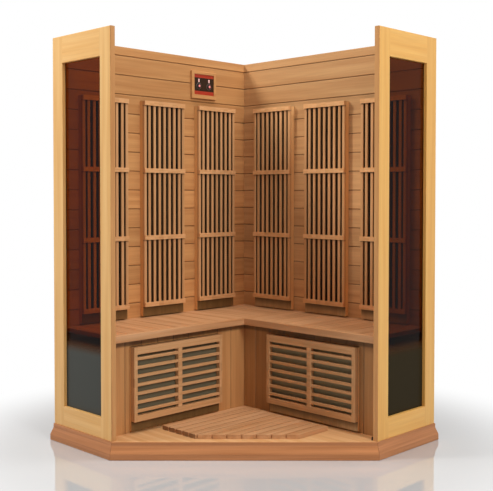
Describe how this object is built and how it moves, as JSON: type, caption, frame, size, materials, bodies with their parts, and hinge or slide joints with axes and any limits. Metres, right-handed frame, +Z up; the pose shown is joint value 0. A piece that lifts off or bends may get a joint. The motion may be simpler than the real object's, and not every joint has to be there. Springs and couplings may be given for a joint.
{
  "type": "infrared sauna cabin",
  "caption": "Corner infrared sauna cabin of wood with a bench along the back walls, slatted wall and leg heaters, tinted side windows and a control unit, open at the roof and door front.",
  "frame": {"origin": "on the ground, under the middle of the square plan", "axes": "+Z up; the left back wall is on the -X side, the right back wall on the +Y side; the open front corner looks along +X and -Y"},
  "size_m": [1.3106, 1.3106, 1.905],
  "materials": {
    "cedar": "planed, bare",
    "seat_cedar": "planed, bare",
    "pale_wood": "planed, clear coat",
    "skirt_wood": "planed, clear coat",
    "frame_wood": "sawn",
    "slat_wood": "planed, bare",
    "heater_brown": "board, dark stain",
    "emitter_olive": "board, dark stain",
    "glass": "tinted, clear",
    "dark_plastic": "gloss",
    "button_red": "gloss, lit",
    "black_rubber": "moulded, matt",
    "steel": "brushed"
  },
  "bodies": {
    "cabin": {"left_wall_lining": "cedar", "left_wall_cladding": "cedar", "right_wall_lining": "cedar", "right_wall_cladding": "cedar", "left_bench_front": "cedar", "right_bench_front": "cedar", "control_bezel": "cedar", "left_window_lining": "cedar", "right_window_lining": "cedar", "left_window_lipping": "cedar", "right_window_lipping": "cedar", "floor_deck": "seat_cedar", "left_seat": "seat_cedar", "right_seat": "seat_cedar", "left_fascia": "seat_cedar", "right_fascia": "seat_cedar", "left_window_frame": "pale_wood", "right_window_frame": "pale_wood", "skirt_left": "skirt_wood", "skirt_front": "skirt_wood", "skirt_right": "skirt_wood", "skirt_back_right": "skirt_wood", "skirt_back_left": "skirt_wood", "base_frame": "frame_wood", "left_wall_frame": "frame_wood", "right_wall_frame": "frame_wood", "left_ledger": "frame_wood", "right_ledger": "frame_wood", "left_grille_1": "slat_wood", "left_grille_2": "slat_wood", "left_grille_3": "slat_wood", "right_grille_1": "slat_wood", "right_grille_2": "slat_wood", "right_grille_3": "slat_wood", "left_leg_grille": "slat_wood", "right_leg_grille": "slat_wood", "left_heater_1": "heater_brown", "left_heater_2": "heater_brown", "left_heater_3": "heater_brown", "right_heater_1": "heater_brown", "right_heater_2": "heater_brown", "right_heater_3": "heater_brown", "left_leg_heater": "emitter_olive", "right_leg_heater": "emitter_olive", "left_window_glass": "glass", "right_window_glass": "glass", "control_module": "dark_plastic", "control_faceplate": "dark_plastic", "floor_grommet": "black_rubber", "lower_latch_base": "steel", "lower_latch_keeper": "steel", "upper_latch_base": "steel", "upper_latch_keeper": "steel"},
    "button_left": {"control_button_left": "button_red"},
    "button_right": {"control_button_right": "button_red"},
    "duckboard": {"duckboard": "seat_cedar"},
    "upper_lever": {"upper_latch_lever": "steel"},
    "upper_bail": {"upper_latch_bail": "steel"},
    "lower_lever": {"lower_latch_lever": "steel"},
    "lower_bail": {"lower_latch_bail": "steel"}
  },
  "joints": [
    {"name": "button_left_press", "type": "slide", "parent": "cabin", "child": "button_left", "axis": [-1, 0, 0], "range_m": [0, 0.002], "stiffness_N_per_m": 300},
    {"name": "button_right_press", "type": "slide", "parent": "cabin", "child": "button_right", "axis": [-1, 0, 0], "range_m": [0, 0.002], "stiffness_N_per_m": 300},
    {"name": "duckboard_lift", "type": "slide", "parent": "cabin", "child": "duckboard", "axis": [0, 0, 1], "range_m": [0, 0.3]},
    {"name": "upper_lever_turn", "type": "hinge", "parent": "cabin", "child": "upper_lever", "pos_m": [-0.646, 0.588, 1.5], "axis": [0, 0, -1], "range_deg": [0, 150]},
    {"name": "upper_bail_turn", "type": "hinge", "parent": "upper_lever", "child": "upper_bail", "pos_m": [-0.646, 0.576, 1.5], "axis": [0, 0, -1], "range_deg": [-150, 0]},
    {"name": "lower_lever_turn", "type": "hinge", "parent": "cabin", "child": "lower_lever", "pos_m": [-0.646, 0.588, 0.5], "axis": [0, 0, -1], "range_deg": [0, 150]},
    {"name": "lower_bail_turn", "type": "hinge", "parent": "lower_lever", "child": "lower_bail", "pos_m": [-0.646, 0.576, 0.5], "axis": [0, 0, -1], "range_deg": [-150, 0]}
  ],
  "couplings": [
    {"joint": "upper_bail_turn", "follows": "upper_lever_turn", "ratio": -1},
    {"joint": "lower_bail_turn", "follows": "lower_lever_turn", "ratio": -1}
  ]
}
